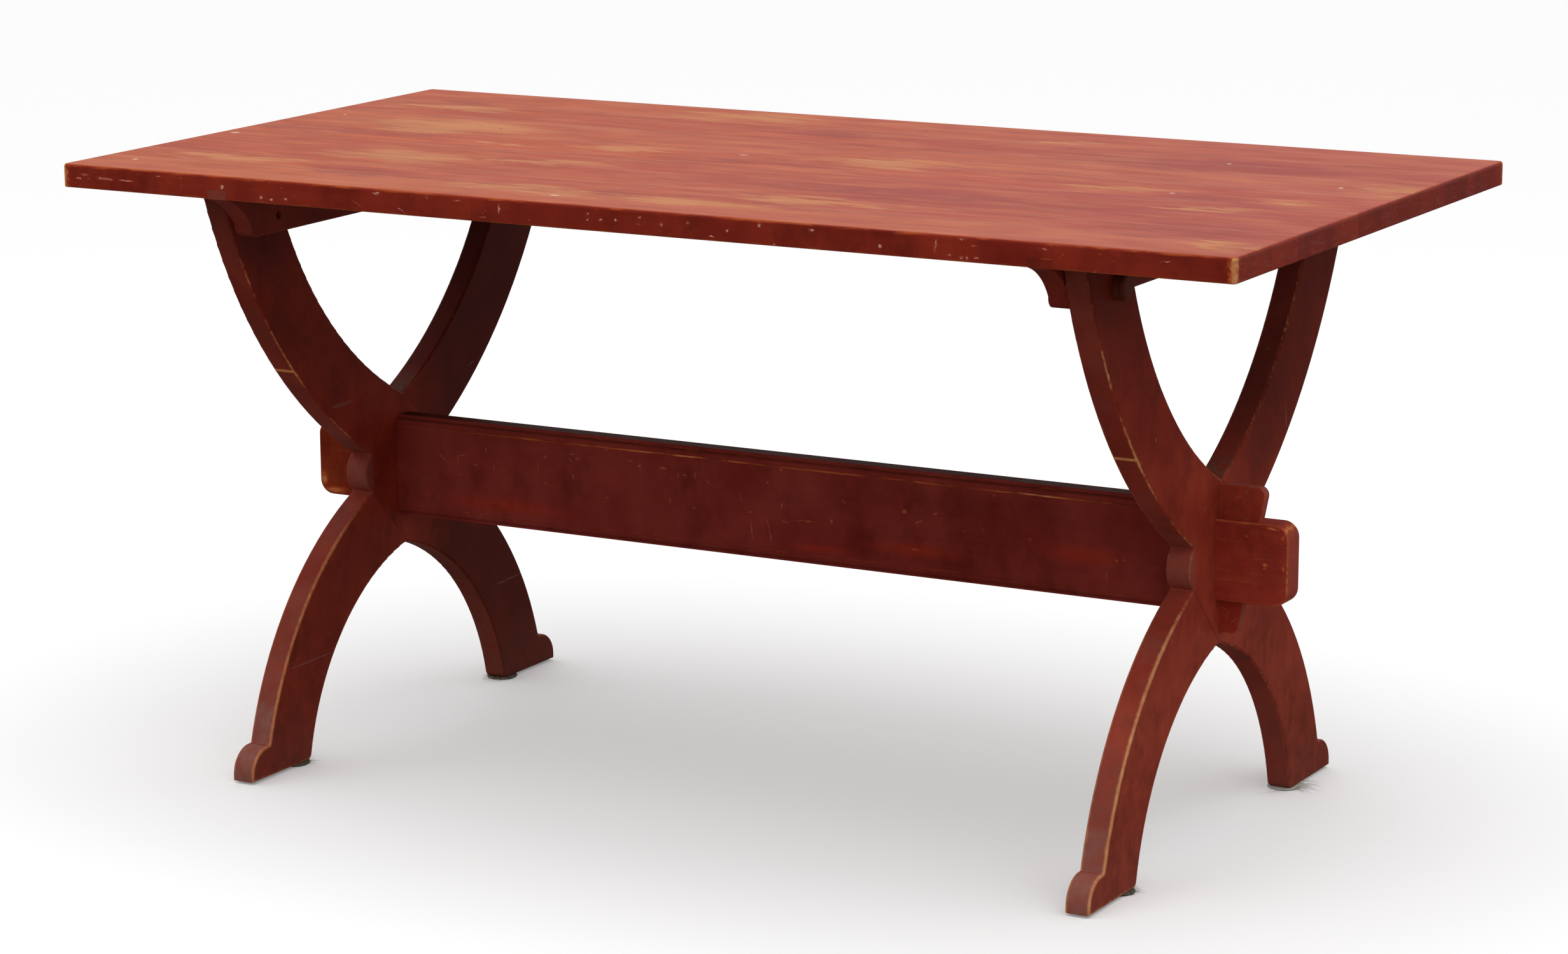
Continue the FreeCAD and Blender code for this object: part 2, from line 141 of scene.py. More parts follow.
def marks(tree, at, rows, turn_axis=1):
    """Rubbed spots and strokes, each a soft ellipsoid: 1 at its centre and 0 at its rim, the strongest where
    they meet. A row is the centre in mm, the half sizes in mm, and a turn in degrees about one axis."""
    strongest = 0.0
    for centre, half, *turn in rows:
        angle = [0.0, 0.0, 0.0]
        angle[turn_axis] = np.radians(turn[0]) if turn else 0.0
        size = np.array(half) * MM
        inside = add(tree, "Mapping", at, np.array(centre) * MM, angle, size, vector_type="TEXTURE")
        spot = add(tree, "TexGradient", inside, gradient_type="SPHERICAL").node.outputs["Fac"]
        strongest = any_of(tree, spot, strongest)
    return strongest


def on_top(rows, reach):
    """Rows for marks, from rows of x, y and half length, half width on the upper face, all in mm."""
    return [((px, py, TOP_FACE / MM), (a, b, reach)) for px, py, a, b in rows]


def on_front(rows, front, reach):
    """Rows for marks, from rows of x, z and half length, half height in mm, and perhaps a turn, on a front."""
    return [((px, front, pz), (a, reach, b), *turn) for px, pz, a, b, *turn in rows]


def start(name):
    """A new material, its tree, and the place of a point on the object."""
    material = bpy.data.materials.new(name)
    material.use_nodes = True
    tree = material.node_tree
    tree.nodes.clear()
    return material, tree, add(tree, "TexCoord").node.outputs["Object"]


def facing(tree):
    """The x, y and z of the way that the surface looks."""
    return add(tree, "SeparateXYZ", add(tree, "NewGeometry").node.outputs["Normal"]).node.outputs


def close(tree, colour, roughness, height, depth, shine=0.06):
    """Ends a material: a shader with that colour, roughness and shine, and a surface that rises by depth where
    height is 1."""
    bump = add(tree, "Bump", 1.0, depth, None, height)
    shader = add(tree, "BsdfPrincipled", colour, 0.0, roughness, 1.45, 1.0, bump)
    shader.node.inputs["Specular IOR Level"].default_value = shine
    tree.links.new(shader, tree.nodes.new("ShaderNodeOutputMaterial").inputs["Surface"])


def give(material, *names):
    """Puts a material on CAD pieces, in place of what they have."""
    for name in names:
        nodes[name].data.materials.clear()
        nodes[name].data.materials.append(material)


def red_coat(tree, at, turn, bare, dust_and_sheen, piece, deep=DEEP_RED, bright=BRICK_RED):
    """Old brick-red oil paint over pine. It gives the eye a dark red with slow cloudy changes, faint brush and
    grain lines along the wood, pale wood where bare is 1, and pale haze where dusty is 1."""
    slow = cloud(tree, at, (140, 140, 140), 0.3, 0.7, seed=piece)
    cloudy = cloud(tree, at, (34, 34, 50), 0.25, 0.75, seed=piece + 0.2, detail=4)
    grain = cloud(tree, at, (4, 4, 150), 0.2, 0.8, turn=turn, seed=piece + 0.4, detail=4)
    tone = add(tree, "Mix", 0.12, add(tree, "Mix", 0.45, slow, cloudy), grain)
    dirt = cloud(tree, at, (13, 13, 16), 0.25, 0.75, seed=piece + 0.6, detail=6)
    grime = cloud(tree, at, (60, 60, 80), 0.35, 0.7, seed=piece + 0.5, detail=3)
    dust_and_sheen = all_of(tree, dust_and_sheen, add(tree, "MapRange", dirt, 0.0, 1.0, 0.55, 1.1))
    paint = layered(tree, deep, (tone, bright), (all_of(tree, dirt, grime, 0.4), GRIMY_RED), (dust_and_sheen, DUST_AND_SHEEN))
    # Paint thins to orange before the pale wood shows.
    streaky = cloud(tree, at, (4, 4, 25), 0.2, 0.7, turn=turn, seed=piece + 0.8, detail=4)
    worn_through = all_of(tree, add(tree, "MapRange", bare, 0.3, 0.85), add(tree, "Mix", streaky, 0.45, 1.0))
    wood = add(tree, "Mix", worn_through, WORN_ORANGE, PALE_WOOD, data_type="RGBA")
    colour = add(tree, "Mix", add(tree, "MapRange", bare, 0.0, 0.5), paint, wood, data_type="RGBA")
    roughness = add(tree, "Mix", any_of(tree, bare, dust_and_sheen), add(tree, "Mix", cloudy, 0.44, 0.54), 0.8)
    height = add(tree, "Mix", bare, add(tree, "Mix", 0.6, dirt, grain), -1.0)
    return colour, roughness, height


SALMON, ROSE, MAUVE, STRAW = "#b95026", "#ae4c40", "#8b3532", "#c68a5e"
ROSE_BLOTCH, PALE_BLOTCH = "#97392b", "#c4714c"
LIGHT_STREAK, DARK_STREAK = "#cb7c54", "#8c3322"
LIGHT_SPECK, DARK_SPECK = "#e3c9ba", "#4c231f"
SEAM_LIP, SEAM_DIRT = "#d9976f", "#5e1f1a"
EDGE_DEEP, EDGE_BRIGHT = "#781e15", "#a63825"
BRUISE, BRUISE_HEART = "#bb5a43", "#edc8b8"
SUNK_DARK, SUNK_PALE = "#8a4a30", "#b57a52"
BOARD_TONES = (  # a colour laid thinly over each board, from the front, and its share
    (STRAW, 0.16), (MAUVE, 0.10), (MAUVE, 0.18), (ROSE, 0.0), (STRAW, 0.10), (MAUVE, 0.16), (STRAW, 0.08),
)
TOP_PATCHES = [  # centre x, y and half length, half width of each worn patch, in mm
    (-227, 324, 125, 50), (-617, 237, 125, 26), (-510, 95, 170, 62), (-540, 55, 110, 36), (-232, 8, 75, 28),
    (443, -12, 100, 30), (713, 103, 55, 52), (598, -108, 70, 24), (113, 42, 105, 65), (-422, -168, 140, 62),
    (-247, -132, 105, 24), (-597, -262, 145, 34), (183, -256, 140, 28), (-147, -322, 150, 30),
    (223, 304, 45, 26), (718, -338, 40, 34), (653, -36, 75, 18), (-367, -22, 55, 20), (83, -332, 170, 30),
]
TOP_STAINS = [  # the same for the dark, mauve places
    (-47, 252, 80, 30), (433, 202, 350, 56), (-547, -8, 190, 40), (-687, -8, 80, 60), (253, -168, 400, 66),
    (563, -38, 80, 44), (643, -258, 130, 64), (-397, -288, 110, 26), (-7, -298, 130, 14),
    (123, -296, 90, 13), (-7, -18, 180, 40), (-620, 300, 150, 22),
]
LIGHT_SPECKS = [  # and for the small pale spots
    (-97, -344, 9, 5), (508, -16, 5, 5), (-67, 32, 9, 4), (-724, -80, 9, 8), (-692, -325, 6, 6),
    (473, 224, 5, 5), (-700, 122, 4, 4), (660, 105, 4, 7),
]
DARK_SPECKS = [(28, 317, 5, 4), (-609, 219, 5, 4), (-450, 98, 4, 3)]
EDGE_CHIPS = [  # on the front edge: x, z and half length, half height, in mm, and the turn in degrees
    (-716, 734, 7, 1.5, 0), (-724, 729, 5, 1.6, 0), (-685, 730.5, 16, 1.8, 0), (-655, 730.5, 15, 1.4, 0),
    (-608, 738.7, 7, 1.0, 0), (-518, 732, 4, 4, 0), (-463.5, 724, 3.4, 2.6, 0), (-428.5, 724, 4.4, 2.4, 0),
    (-449, 722, 3, 2.4, 0), (-304, 739.6, 8, 2.4, 0), (-235.6, 739.4, 3, 2.2, 0), (-196, 738.6, 9, 1.2, 0),
    (-161, 722.2, 6, 1.4, 0), (-140, 733, 2.5, 8, 0), (-24, 735.5, 2.4, 2.6, 0), (-24.5, 730, 2, 2, 0),
    (-7.5, 730, 3, 2.2, 0), (12, 731.4, 2.6, 3, 0), (42, 736.5, 3, 1.6, 0), (40, 729, 5, 1.1, 0),
    (69.4, 730.4, 3.2, 3, 0), (103.5, 735, 3, 2.2, 0), (152, 730.2, 2.8, 2.6, 0), (192, 739.3, 3, 4, 0),
    (210, 718.8, 2.6, 2.2, 0), (133, 722.3, 6, 1.2, 0), (256, 737.7, 6, 2.6, 0), (339, 726.7, 3.4, 3, 0),
    (404.6, 732.4, 1.8, 11, 9), (436, 741.6, 7, 1.2, 0), (421, 723.8, 4, 1.4, 0), (435, 722.2, 3.4, 2.6, 0),
    (442, 722, 2.6, 3, 0), (452.6, 722.8, 5, 1.6, 0), (450.6, 735.4, 5, 1.3, 0), (531, 737.8, 9, 1.0, 0),
    (670, 735.2, 10, 1.0, -8), (590, 718.2, 3, 2, 0), (-330, 726, 12, 0.9, 30), (-270, 723, 10, 0.8, 24),
]
for number, (board_colour, board_share) in enumerate(BOARD_TONES, start=1):
    name = f"top_board_{number}"
    low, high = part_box(name)
    material, tree, at = start("rubbed_red_oil_paint_on_pine_" + name)
    x, y, z = add(tree, "SeparateXYZ", at).node.outputs
    # Growth rings show as streaks 5 to 15 mm wide that run on for 15 to 40 cm, with finer ones between them.
    broad = cloud(tree, at, (420, 30, 60), 0.3, 0.7, seed=number + 0.1)
    rings = cloud(tree, at, (125, 14, 40), 0.25, 0.75, seed=number + 0.2, detail=5)
    fine = cloud(tree, at, (45, 4, 10), 0.2, 0.8, seed=number + 0.3, detail=4)
    fingers = cloud(tree, at, (60, 12, 40), 0.2, 0.8, seed=number + 0.4, detail=3)
    blotches = cloud(tree, at, (95, 34, 40), 0.35, 0.7, seed=number + 0.5, detail=5)
    pale = cloud(tree, at, (120, 40, 40), 0.42, 0.72, seed=number + 0.6, detail=5)
    # The paint turns from salmon at the left to rose at the right. The rose is partly the paint's own tone and
    # partly painted sheen, for the pale reflection that lies on the right of the top.
    rose_and_sheen = add(tree, "Math", add(tree, "MapRange", x, -0.5, 0.6, 0.0, 0.8), add(tree, "Mix", broad, -0.1, 0.3),
               operation="ADD")
    face = layered(tree, SALMON, (rose_and_sheen, ROSE), (board_share, board_colour),
                   (all_of(tree, blotches, 0.42), ROSE_BLOTCH), (all_of(tree, pale, 0.4), PALE_BLOTCH))
    # A worn patch ends in streaks, as the wear follows the grain.
    along, across = add(tree, "Mix", fingers, -0.05, 0.05), add(tree, "Mix", blotches, -0.02, 0.02)
    grain_pushed_at = add(tree, "VectorMath", at, add(tree, "CombineXYZ", along, across, 0.0))
    worn, stained = (
        marks(tree, grain_pushed_at, on_top([(px, py, a, b) for px, py, a, b in places
                                       if low.y - b * MM < py * MM < high.y + b * MM], 60))
        for places in (TOP_PATCHES, TOP_STAINS)
    )
    worn = all_of(tree, add(tree, "MapRange", worn, 0.0, 0.75, interpolation_type="SMOOTHSTEP"),
                  add(tree, "MapRange", add(tree, "Mix", 0.5, rings, fingers), 0.1, 0.9, 0.5, 0.85))
    stained = all_of(tree, add(tree, "MapRange", stained, 0.0, 0.8, interpolation_type="SMOOTHSTEP"),
                     add(tree, "MapRange", fingers, 0.0, 1.0, 0.25, 0.7))
    streaks = add(tree, "Mix", 0.4, rings, fine)
    face = layered(tree, face, (stained, MAUVE), (worn, STRAW),
                   (add(tree, "MapRange", streaks, 0.5, 0.92, 0.0, 0.32), LIGHT_STREAK),
                   (add(tree, "MapRange", streaks, 0.5, 0.1, 0.0, 0.34), DARK_STREAK))
    for specks, strength, speck_colour in (LIGHT_SPECKS, 0.7, LIGHT_SPECK), (DARK_SPECKS, 0.8, DARK_SPECK):
        spots = add(tree, "MapRange", marks(tree, at, on_top(specks, 6)), 0.2, 0.6, 0.0, strength)
        face = add(tree, "Mix", spots, face, speck_colour, data_type="RGBA")
    # A glued joint shows as a dark line, lost here and there, and its lip is rubbed light.
    gaps = [add(tree, "Math", y, edge, operation="SUBTRACT")
            for edge in (low.y, high.y) if abs(edge) < HALF_WIDTH - MM]
    gaps = [add(tree, "Math", gap, operation="ABSOLUTE") for gap in gaps]
    gap = gaps[0] if len(gaps) == 1 else add(tree, "Math", *gaps, operation="MINIMUM")
    lip = all_of(tree, near(tree, gap, 7 * MM), rings, 0.35)
    clear = cloud(tree, at, (170, 30, 30), 0.36, 0.58, seed=40)
    seam = all_of(tree, near(tree, gap, 2.2 * MM), add(tree, "MapRange", clear, 0.0, 1.0, 0.15, 0.85))
    face = layered(tree, face, (lip, SEAM_LIP), (seam, SEAM_DIRT))
    # Distances from the outside faces give the arrises, where the paint has gone.
    side = add(tree, "Math", HALF_WIDTH, add(tree, "Math", y, operation="ABSOLUTE"), operation="SUBTRACT")
    end = add(tree, "Math", HALF_LENGTH, add(tree, "Math", x, operation="ABSOLUTE"), operation="SUBTRACT")
    above = add(tree, "Math", TOP_FACE, z, operation="SUBTRACT")
    below = add(tree, "Math", z, UNDERSIDE, operation="SUBTRACT")
    ragged = cloud(tree, at, (34, 14, 4), 0.3, 0.72, seed=41, detail=6)
    even = add(tree, "MapRange", ragged, 0.0, 1.0, 0.75, 1.0)
    upright = cloud(tree, at, (4, 4, 6), 0.2, 0.8, seed=42, detail=6)
    upright = add(tree, "MapRange", upright, 0.0, 1.0, 0.35, 1.15)
    bare = 0.0
    for one, other, reach, share, outline in (  # the two faces, how far in mm and how strongly it is worn
        (side, above, 5.5, 0.42, ragged), (side, above, 1.4, 0.5, ragged), (side, below, 3.5, 0.4, ragged),
        (side, below, 2.2, 0.9, even), (end, above, 2, 0.4, even), (end, below, 3, 0.4, ragged),
        (side, end, 15, 0.85, upright),
    ):
        edge = near(tree, add(tree, "Math", one, other, operation="ADD"), all_of(tree, outline, reach * MM))
        bare = any_of(tree, all_of(tree, edge, share), bare)
    dents = 0.0
    if number == 1:
        dents = marks(tree, shaken(tree, at, 4, 1.7), on_front(EDGE_CHIPS, -HALF_WIDTH / MM, 5))
        broken = cloud(tree, at, (3, 3, 1.8), 0.34, 0.62, seed=44, detail=4)
        dents = all_of(tree, add(tree, "MapRange", dents, 0.1, 0.55), add(tree, "Mix", broken, 0.25, 1.0))
        # Those by the left corner go down to the wood.
        bare = any_of(tree, bare, all_of(tree, dents, add(tree, "MapRange", x, -0.64, -0.58, 0.6, 0.0)))
    knocked = shaken(tree, at, 6, 1.2)
    nicks = any_of(tree, flecks(tree, knocked, (22, 22, 9), 0.11, seed=1),
                   flecks(tree, knocked, (46, 46, 7), 0.09, seed=2))
    pricks = flecks(tree, knocked, (12, 12, 7), 0.18, seed=4)
    bare = any_of(tree, bare, all_of(tree, nicks, 0.2))
    dents = any_of(tree, dents, all_of(tree, nicks, 0.6), all_of(tree, pricks, 0.7))
    # The sawn ends are hazy and scuffed, the most towards the back.
    scuffs = cloud(tree, at, (30, 20, 3.5), 0.5, 0.7, seed=43, detail=6)
    upper_band = near(tree, above, all_of(tree, even, 8 * MM))
    hazy = add(tree, "Math", add(tree, "MapRange", y, -0.39, 0.39, 0.06, 0.08),
               all_of(tree, any_of(tree, scuffs, upper_band), 0.3), operation="ADD")
    hazy = all_of(tree, near(tree, end, 0.5 * MM), hazy)
    paint, paint_roughness, paint_height = red_coat(
        tree, at, (0, np.pi / 2, 0), bare, hazy, number, EDGE_DEEP, EDGE_BRIGHT)
    # A knock crushes the paint to salmon, and its heart is chalky.
    paint = layered(tree, paint, (add(tree, "MapRange", dents, 0.0, 0.6, 0.0, 0.75), BRUISE),
                    (add(tree, "MapRange", dents, 0.6, 0.95, 0.0, 0.8), BRUISE_HEART))
    # Underneath, one thin coat has sunk into the bare planed wood.
    looks_up = facing(tree)[2]
    sunk = add(tree, "Mix", add(tree, "Mix", 0.4, rings, broad), SUNK_DARK, SUNK_PALE, data_type="RGBA")
    downward = add(tree, "MapRange", looks_up, -0.8, -0.95, 0.0, 0.55)
    paint = add(tree, "Mix", downward, paint, sunk, data_type="RGBA")
    upper = add(tree, "MapRange", looks_up, 0.6, 0.97, interpolation_type="SMOOTHSTEP")
    colour = add(tree, "Mix", upper, paint, face, data_type="RGBA")
    roughness = add(tree, "Mix", upper, paint_roughness, add(tree, "Mix", worn, 0.5, 0.6))
    height = add(tree, "Mix", upper, paint_height, add(tree, "Math", streaks, seam, operation="SUBTRACT"))
    close(tree, colour, roughness, height, 0.12 * MM)
    give(material, name)

# THE BATTENS. Two pine battens slid into dovetail grooves across the underside, which keep the top flat. Each
# end is hollowed out below the groove. They have the same red paint, and the dovetail shows in the front edge.
BATTEN_DUST = {"left": (0.1, 0.3), "right": (0.05, 0.02)}  # below the boards, and on the dovetail's end
for number, (side_name, (haze_below, dust_in_edge)) in enumerate(BATTEN_DUST.items(), start=8):
    name = side_name + "_batten"
    material, tree, at = start(f"red_oil_paint_on_{name}")
    z = add(tree, "SeparateXYZ", at).node.outputs[2]
    low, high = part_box(name)
    dust_and_sheen = add(tree, "MapRange", z, UNDERSIDE - MM, UNDERSIDE, haze_below, dust_in_edge)
    patchy = cloud(tree, at, (14, 14, 14), 0.4, 0.7, seed=number)
    crest = near(tree, add(tree, "Math", high.z, z, operation="SUBTRACT"), 1.4 * MM)
    foot = near(tree, add(tree, "Math", z, low.z, operation="SUBTRACT"), all_of(tree, patchy, 5 * MM))
    foot = all_of(tree, foot, add(tree, "MapRange", facing(tree)[2], -0.9, -0.5))
    bare = any_of(tree, all_of(tree, crest, patchy, 0.35), all_of(tree, foot, 0.12))
    colour, roughness, height = red_coat(tree, at, (np.pi / 2, 0, 0), bare, dust_and_sheen, number)
    close(tree, colour, roughness, height, 0.15 * MM)
    give(material, name)


# THE TRESTLES. Each is two pine legs sawn to a curve and halved over each other at the waist, with a bead cut
# on each side of it. Feet and chair rails have worn the arrises down to ochre wood, most of all low on the
# front.
def arris(tree, axis, reach):
    """1 on a rounded arris between a face square to axis and the faces beside it, 0 on the faces themselves:
    one less how far the square of the facing's share along the axis is from a half."""
    eased = add(tree, "Bevel", reach)
    share = add(tree, "VectorMath", eased, axis, operation="DOT_PRODUCT").node.outputs["Value"]
    twice = add(tree, "Math", all_of(tree, share, share), 2.0, -1.0, operation="MULTIPLY_ADD")
    return add(tree, "Math", 1.0, add(tree, "Math", twice, operation="ABSOLUTE"), operation="SUBTRACT")


LEAN = np.arctan2(590, 714)  # of a leg's grain from upright, from its foot to its head in mm
MORTISE_MIDDLE, MORTISE_HALF_WIDTH, MORTISE_HALF_HEIGHT = 0.3325, 0.0175, 0.047
CHAIR_RAIL, FORK = 0.487, 0.424  # heights of the rubbed line and of the crotch above the waist
LAP_JOINTS = ((-74, 308.75), (0, 231.5)), ((0, 421.5), (74, 356.25))  # y, z in mm of the ends of both lines
MUD_BROWN, PAINTED_SHADE_DARK, GREY_DUST, JOINT_LINE = "#5e2a20", "#2c1512", "#6b6353", "#2a0b07"
LEG_COATS = {  # what differs from one trestle to the other: the right-hand one is the more worn and has more painted light low down, the left-hand one more painted shade
    "left": dict(
        deep=DEEP_RED, bright=BRICK_RED, rubbed_deep="#9c3526", rubbed_bright="#c04c36", light_low_down=0.45,
        low_wear=(0.78, 0.98), other_wear=(0.8, 0.1), barest=0.65, haze_above=0.45, haze_behind=0.02,
        shade_behind=(0.6, 0.6), shade_in_fork=0.75, joint=0.2, shine=0.06,
        scratches=[((-538, -218, 126), (3, 60, 1.5), 1), ((-538, -133, 430), (3, 28, 3), 0),
                   ((-538, 232, 134), (3, 40, 1.2), 2), ((-538, 154, 433), (3, 8, 1.4), 20)],
    ),
    "right": dict(
        deep="#7e241a", bright="#ac3f2b", rubbed_deep="#a63f30", rubbed_bright="#cb5842", light_low_down=0.75,
        low_wear=(1.0, 1.0), other_wear=(1.0, 0.5), barest=0.95, haze_above=0.7, haze_behind=0.16,
        shade_behind=(0.15, 0.45), shade_in_fork=0.45, joint=0.55, shine=0.03,
        scratches=[((568, 182, 462), (3, 2.0, 20), 6), ((568, -48, 397), (3, 3, 3), 0),
                   ((568, -184, 501), (3, 3, 3), 0), ((568, 60, 300), (3, 3, 8), 0)],
    ),
}
for number, (side_name, head) in enumerate([(s, h) for s in LEG_COATS for h in ("front", "back")], start=10):
    name = f"{side_name}_leg_from_{head}_head"
    coat = LEG_COATS[side_name]
    material, tree, at = start("worn_red_oil_paint_on_" + name)
    x, y, z = add(tree, "SeparateXYZ", at).node.outputs
    looks_x, looks_y, looks_z = facing(tree)
    low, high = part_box(name)
    from_middle = add(tree, "Math", x, (low.x + high.x) / 2, operation="SUBTRACT")
    turn = (LEAN if head == "front" else -LEAN, 0, 0)
    off_middle = add(tree, "Math", from_middle, operation="ABSOLUTE")
    off_centre = add(tree, "Math", y, operation="ABSOLUTE")
    off_tenon = add(tree, "Math", add(tree, "Math", z, MORTISE_MIDDLE, operation="SUBTRACT"),
                    operation="ABSOLUTE")
    # The lap and the mortise have sharp edges, which no hand reaches.
    clear = any_of(tree, add(tree, "Math", off_centre, MORTISE_HALF_WIDTH, operation="SUBTRACT"),
                   add(tree, "Math", off_tenon, MORTISE_HALF_HEIGHT, operation="SUBTRACT"))
    clear = all_of(tree, add(tree, "MapRange", clear, 0.004, 0.008),
                   add(tree, "MapRange", off_middle, 0.007, 0.010))
    # The joints of the lap, as straight lines, on the -X face as seen through a mirror.
    plus_side = add(tree, "MapRange", from_middle, -MM, MM)
    mirrored = all_of(tree, y, add(tree, "MapRange", plus_side, 0.0, 1.0, -1.0, 1.0))
    lap_at = add(tree, "CombineXYZ", 0.0, mirrored, z)
    hairline = by_lap = 0.0
    for (y1, z1), (y2, z2) in LAP_JOINTS:
        middle, half = np.array([0, y1 + y2, z1 + z2]) / 2 * MM, np.hypot(y2 - y1, z2 - z1) / 2 * MM
        slope = (np.arctan2(z2 - z1, y2 - y1), 0, 0)
        placed = add(tree, "Mapping", lap_at, middle, slope, (1, half, MM), vector_type="TEXTURE")
        unsigned = add(tree, "VectorMath", placed, operation="ABSOLUTE")
        _, off_along, off_line = add(tree, "SeparateXYZ", unsigned).node.outputs
        within = add(tree, "MapRange", off_along, 1.02, 0.98)
        hairline = any_of(tree, all_of(tree, add(tree, "MapRange", off_line, 0.7, 0.3), within), hairline)
        by_lap = any_of(tree, all_of(tree, add(tree, "MapRange", off_line, 9.0, 6.0), within), by_lap)
    clear = all_of(tree, clear, add(tree, "Math", 1.0, by_lap, operation="SUBTRACT"))
    corner = all_of(tree, arris(tree, (1, 0, 0), 5.5 * MM), clear)
    patchy = cloud(tree, at, (5, 5, 14), 0.25, 0.75, seed=number, detail=6)
    # The front arris on the +X side is worn through from waist to toe, the other arrises here and there.
    front = add(tree, "MapRange", y, 0.0, -0.06)
    toe_part = add(tree, "MapRange", z, 0.1, 0.08)
    through = all_of(tree, front, add(tree, "MapRange", z, 0.33, 0.26),
                     add(tree, "Mix", any_of(tree, plus_side, toe_part), 0.62, 0.86))
    slow = cloud(tree, at, (60, 60, 60), 0.3, 0.65, seed=50)
    through = all_of(tree, through, add(tree, "MapRange", slow, 0.0, 1.0, *coat["low_wear"]))
    here_and_there = cloud(tree, at, (80, 80, 80), 0.35, 0.62, seed=number + 0.3)
    here_and_there = all_of(tree, here_and_there, add(tree, "MapRange", z, 0.66, 0.6, 0.1, 0.5),
                            add(tree, "MapRange", y, 0.0, 0.06, *coat["other_wear"]))
    off_rail = add(tree, "Math", add(tree, "Math", z, CHAIR_RAIL, operation="SUBTRACT"), operation="ABSOLUTE")
    by_rail = all_of(tree, near(tree, off_rail, 0.045), front, 0.62)
    bead = all_of(tree, near(tree, off_tenon, 0.05), add(tree, "MapRange", off_centre, 0.066, 0.076))
    wear = all_of(tree, any_of(tree, through, here_and_there, by_rail),
                  add(tree, "MapRange", bead, 0.0, 0.4, 1.0, 0.3))
    wear = add(tree, "Math", add(tree, "Math", corner, wear, operation="ADD"), all_of(tree, patchy, 0.42),
               operation="SUBTRACT")
    bare = add(tree, "MapRange", wear, 0.78, 1.08, 0.0, coat["barest"], interpolation_type="SMOOTHSTEP")
    # A chair rail has rubbed a line across the front of each front leg.
    forward = add(tree, "MapRange", looks_y, -0.3, -0.6, 0.0, 0.75)
    rail = all_of(tree, near(tree, off_rail, 3.4 * MM), forward, front, front)
    strokes = marks(tree, shaken(tree, at, 14, 0.6), coat["scratches"], turn_axis=0)
    strokes = all_of(tree, add(tree, "MapRange", strokes, 0.05, 0.45), add(tree, "Mix", patchy, 0.4, 1.0))
    nicks = any_of(tree, flecks(tree, at, (34, 9, 34), 0.09, turn, seed=number),
                   flecks(tree, at, (16, 16, 30), 0.07, turn, seed=number + 3))
    bare = any_of(tree, bare, rail, all_of(tree, nicks, 0.4))
    # Dust lies on the toes, on the bead at the waist and in the fork, and hazes the narrow faces. On the front
    # narrow faces that pale haze is dust and painted sheen.
    sideways = add(tree, "Math", looks_x, operation="ABSOLUTE")
    narrow = add(tree, "MapRange", sideways, 0.8, 0.3)
    outer = add(tree, "MapRange", all_of(tree, y, looks_y), 0.0, 0.03)
    toe = all_of(tree, toe_part, outer, add(tree, "MapRange", looks_x, 0.8, 0.2))
    # A pale haze on the front narrow faces: dust, and painted sheen as well.
    haze = cloud(tree, at, (50, 50, 70), 0.35, 0.65, seed=number + 0.6, detail=4)
    haze = all_of(tree, narrow, front, add(tree, "MapRange", haze, 0.0, 1.0, 0.08, 0.32),
                  add(tree, "MapRange", z, 0.36, 0.42, 1.0, coat["haze_above"]))
    haze_behind = all_of(tree, narrow, add(tree, "MapRange", y, 0.0, 0.04, 0.0, coat["haze_behind"]))
    foot = all_of(tree, add(tree, "MapRange", z, 0.09, 0.0, 0.0, 0.2),
                  add(tree, "MapRange", narrow, 0.0, 1.0, 1.0, 2.0))
    lower_haze = all_of(tree, narrow, add(tree, "MapRange", outer, 0.0, 1.0, 0.75, 1.0),
                        add(tree, "MapRange", z, 0.26, 0.1, 0.0, 0.42))
    dust_and_sheen = any_of(tree, all_of(tree, toe, 0.85), all_of(tree, bead, 0.45),
                   haze, haze_behind, lower_haze, foot, strokes)
    # Painted light: the paint is lighter low down, most on the wide faces, for the light that reaches the legs
    # below the top's shade.
    painted_light_low = all_of(tree, add(tree, "MapRange", z, 0.5, 0.15, 0.0, coat["light_low_down"]),
                     add(tree, "MapRange", narrow, 0.0, 1.0, 1.25, 0.6))
    # Painted shade: the paint is darkened nearly to black where shade falls, under the top, in the fork and at
    # the back.
    inner = all_of(tree, narrow, add(tree, "MapRange", z, 0.3, 0.25, 0.0, 0.8))
    behind = all_of(tree, add(tree, "MapRange", y, 0.02, 0.1),
                    add(tree, "Math", 1.0, inner, operation="SUBTRACT"))
    fork_shade = all_of(tree, add(tree, "MapRange", z, 0.4, 0.44), behind,
                     add(tree, "MapRange", looks_y, -0.4, -0.8, 0.0, coat["shade_in_fork"]))
    painted_shade = any_of(tree, all_of(tree, add(tree, "MapRange", z, 0.58, 0.7), 0.5), fork_shade,
                  all_of(tree, behind, add(tree, "MapRange", z, 0.35, 0.45, *coat["shade_behind"])))
